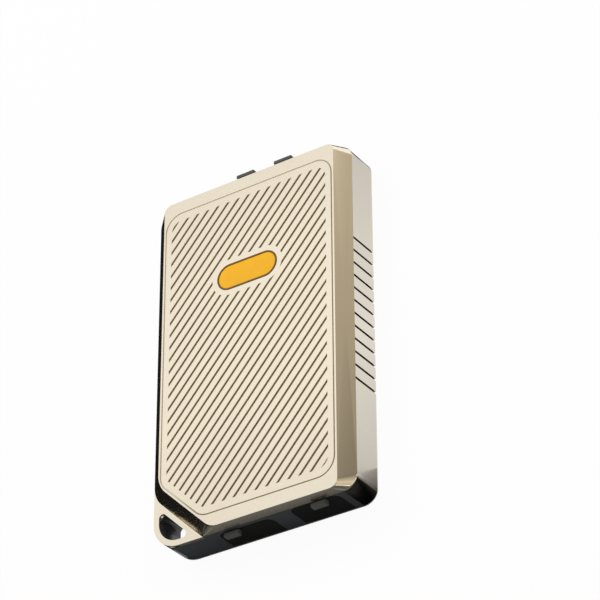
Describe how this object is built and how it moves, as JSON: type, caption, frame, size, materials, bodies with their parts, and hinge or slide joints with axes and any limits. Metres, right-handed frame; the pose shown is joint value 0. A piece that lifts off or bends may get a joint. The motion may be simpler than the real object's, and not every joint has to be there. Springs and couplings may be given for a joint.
{
  "type": "optical time domain reflectometer",
  "caption": "Flat pocket fibre tester: bevelled champagne cover with diagonal flutes, silver ribbed frame, black end panels with hinged port covers and a corner lanyard ear.",
  "frame": {"origin": "middle of the flat back face, halfway between the two end faces and the two side walls", "axes": "+Z out of the fluted front face, +Y to the top end with the two fibre ports, +X to the right seen from the front; the lanyard ear is at -X, -Y"},
  "size_m": [0.0786, 0.1373, 0.0165],
  "materials": {
    "champagne_cover": "champagne gold satin, fine sprayed and anodised",
    "silver_frame": "warm silver satin anodised",
    "silver_plate": "silver bead-blasted anodised",
    "black_panel": "dark grey satin moulded plastic",
    "black_rubber": "fine matt black moulded rubber",
    "amber_badge": "amber enamel",
    "dark_badge_rim": "dark brown enamel line",
    "screw_steel": "dark plated steel",
    "pin_steel": "ground steel",
    "button_grey": "dark grey moulded",
    "switch_black": "black moulded",
    "clear_pipe": "clear moulded light pipe",
    "lamp_white": "white lamp body",
    "green_adapter": "green moulded",
    "blue_adapter": "blue moulded",
    "nickel_brass": "nickel plated brass",
    "white_ceramic": "polished zirconia",
    "gold_can": "gold plated can",
    "socket_steel": "bright tinned steel",
    "green_board": "green solder mask",
    "grey_foam": "closed-cell foam",
    "battery_foil": "laminated foil pouch",
    "engine_metal": "machined housing",
    "white_tray": "white moulded tray",
    "yellow_fibre": "yellow coated fibre",
    "chip_black": "black moulded package"
  },
  "bodies": {
    "case": {"back_plate": "silver_plate", "badge_plate": "amber_badge", "badge_rim": "dark_badge_rim", "battery": "battery_foil", "battery_pad": "grey_foam", "bottom_hinge_pins": "pin_steel", "bottom_panel": "black_panel", "case_screws": "screw_steel", "fibre_coil": "yellow_fibre", "fibre_tray": "white_tray", "front_cover": "champagne_cover", "laser_can": "gold_can", "light_pipes": "clear_pipe", "main_board": "green_board", "meter_adapter": "blue_adapter", "meter_detector": "gold_can", "meter_sleeve": "white_ceramic", "meter_stub": "white_ceramic", "optical_engine": "engine_metal", "power_inductors": "chip_black", "power_switch": "switch_black", "processor": "chip_black", "radio_module": "socket_steel", "receiver_can": "gold_can", "shield_can": "socket_steel", "side_frame": "silver_frame", "source_adapter": "nickel_brass", "source_laser": "gold_can", "source_sleeve": "white_ceramic", "source_stub": "white_ceramic", "status_lamps": "lamp_white", "top_hinge_pins": "pin_steel", "top_panel": "black_panel", "trace_adapter": "green_adapter", "trace_coupler": "engine_metal", "trace_sleeve": "white_ceramic", "trace_stub": "white_ceramic", "usb_shell": "socket_steel", "usb_tongue": "switch_black"},
    "trace_cover": {"trace_port_cover": "black_rubber"},
    "meter_cover": {"meter_port_cover": "black_rubber"},
    "charge_cover": {"charge_port_cover": "black_rubber"},
    "source_cover": {"source_port_cover": "black_rubber"},
    "button": {"power_button": "button_grey"}
  },
  "joints": [
    {"name": "trace_cover_hinge", "type": "hinge", "parent": "case", "child": "trace_cover", "pos_m": [-0.0042, 0.0641, 0.0026], "axis": [-1, 0, 0], "range_deg": [0, 90]},
    {"name": "meter_cover_hinge", "type": "hinge", "parent": "case", "child": "meter_cover", "pos_m": [0.0112, 0.0641, 0.0026], "axis": [-1, 0, 0], "range_deg": [0, 90]},
    {"name": "charge_cover_hinge", "type": "hinge", "parent": "case", "child": "charge_cover", "pos_m": [-0.0048, -0.0641, 0.0015], "axis": [1, 0, 0], "range_deg": [0, 90]},
    {"name": "source_cover_hinge", "type": "hinge", "parent": "case", "child": "source_cover", "pos_m": [0.0223, -0.0641, 0.0015], "axis": [1, 0, 0], "range_deg": [0, 90]},
    {"name": "power_button_press", "type": "slide", "parent": "case", "child": "button", "axis": [0, -1, 0], "range_m": [0, 0.00035], "stiffness_N_per_m": 80}
  ]
}
